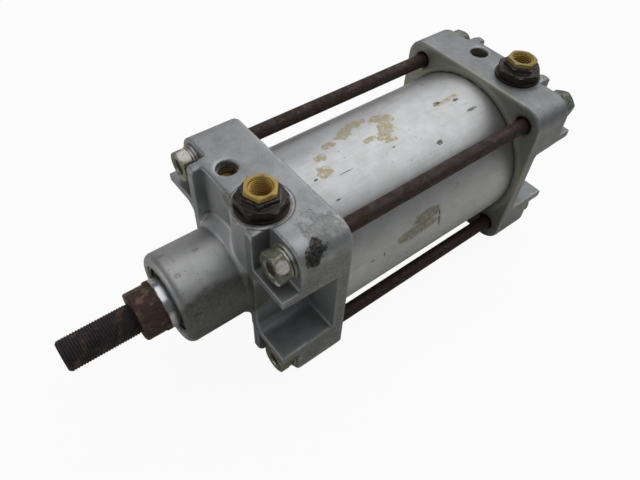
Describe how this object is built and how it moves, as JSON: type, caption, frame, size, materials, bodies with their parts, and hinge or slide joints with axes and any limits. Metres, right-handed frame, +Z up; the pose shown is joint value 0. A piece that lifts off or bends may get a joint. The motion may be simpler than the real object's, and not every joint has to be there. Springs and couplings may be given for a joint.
{
  "type": "double acting pneumatic cylinder",
  "caption": "Double acting tie rod air cylinder with square die-cast covers, threaded piston rod, adjustable end cushions and reduced air ports on top.",
  "frame": {"origin": "on the rod axis at the foot of the front cover's pilot boss", "axes": "+X along the axis towards the threaded rod end, +Z up through both air ports, +Y completes a right-handed frame"},
  "size_m": [0.3319, 0.115, 0.1268],
  "materials": {
    "cover_casting": "die-cast, weathered",
    "barrel_metal": "drawn tube, stained",
    "tie_rod_steel": "rusted",
    "zinc_hardware": "zinc plated",
    "rod_chrome": "hard chrome on the bar, rusted end",
    "piston_metal": "turned",
    "plain_steel": "turned",
    "bushing_steel": "rusted, dark",
    "washer_metal": "dull",
    "brass_fitting": "machined",
    "bronze_bush": "bored",
    "seal_rubber": "matte",
    "wear_plastic": "matte"
  },
  "bodies": {
    "cylinder": {"front_cover": "cover_casting", "rear_cover": "cover_casting", "barrel_tube": "barrel_metal", "front_tube_gasket": "seal_rubber", "rear_tube_gasket": "seal_rubber", "front_tie_nuts": "zinc_hardware", "rear_tie_nuts": "tie_rod_steel", "front_flat_washers": "zinc_hardware", "rear_flat_washers": "zinc_hardware", "front_spring_washers": "zinc_hardware", "rear_spring_washers": "zinc_hardware", "front_cushion_seal": "seal_rubber", "rear_cushion_seal": "seal_rubber", "rod_bush": "bronze_bush", "rod_seal": "seal_rubber", "seal_spacer": "plain_steel", "wiper_seal": "seal_rubber", "gland_retaining_ring": "plain_steel", "port_washers": "washer_metal", "front_port_bushing": "bushing_steel", "rear_port_bushing": "bushing_steel", "front_port_reducer": "brass_fitting", "rear_port_reducer": "brass_fitting", "needle_retaining_rings": "plain_steel", "tie_rod_1": "tie_rod_steel", "tie_rod_2": "tie_rod_steel", "tie_rod_3": "tie_rod_steel", "tie_rod_4": "tie_rod_steel"},
    "piston_rings": {"piston_seals": "seal_rubber", "wear_ring": "wear_plastic"},
    "rod": {"piston_rod": "rod_chrome", "piston_front_half": "piston_metal", "piston_rear_half": "piston_metal", "piston_o_ring": "seal_rubber", "front_cushion_sleeve": "plain_steel", "rear_cushion_spear": "plain_steel", "piston_nut": "plain_steel"},
    "front_needle_ring": {"front_needle_o_ring": "seal_rubber"},
    "front_needle": {"front_cushion_needle": "brass_fitting"},
    "rear_needle_ring": {"rear_needle_o_ring": "seal_rubber"},
    "rear_needle": {"rear_cushion_needle": "brass_fitting"}
  },
  "joints": [
    {"name": "rod_slide", "type": "slide", "parent": "cylinder", "child": "piston_rings", "axis": [1, 0, 0], "range_m": [0, 0.1]},
    {"name": "rod_spin", "type": "hinge", "parent": "piston_rings", "child": "rod", "pos_m": [0, 0, 0], "axis": [1, 0, 0], "continuous": true},
    {"name": "front_needle_lift", "type": "slide", "parent": "cylinder", "child": "front_needle_ring", "axis": [0, 0, 1], "range_m": [0, 0.0024]},
    {"name": "front_needle_turn", "type": "hinge", "parent": "front_needle_ring", "child": "front_needle", "pos_m": [-0.0185, -0.0163, 0.045], "axis": [0, 0, 1], "range_deg": [0, 1080]},
    {"name": "rear_needle_lift", "type": "slide", "parent": "cylinder", "child": "rear_needle_ring", "axis": [0, 0, 1], "range_m": [0, 0.0024]},
    {"name": "rear_needle_turn", "type": "hinge", "parent": "rear_needle_ring", "child": "rear_needle", "pos_m": [-0.2176, -0.0156, 0.045], "axis": [0, 0, 1], "range_deg": [0, 1080]}
  ],
  "couplings": [
    {"joint": "front_needle_lift", "follows": "front_needle_turn", "m_per_rad": 0.00012732},
    {"joint": "rear_needle_lift", "follows": "rear_needle_turn", "m_per_rad": 0.00012732}
  ]
}
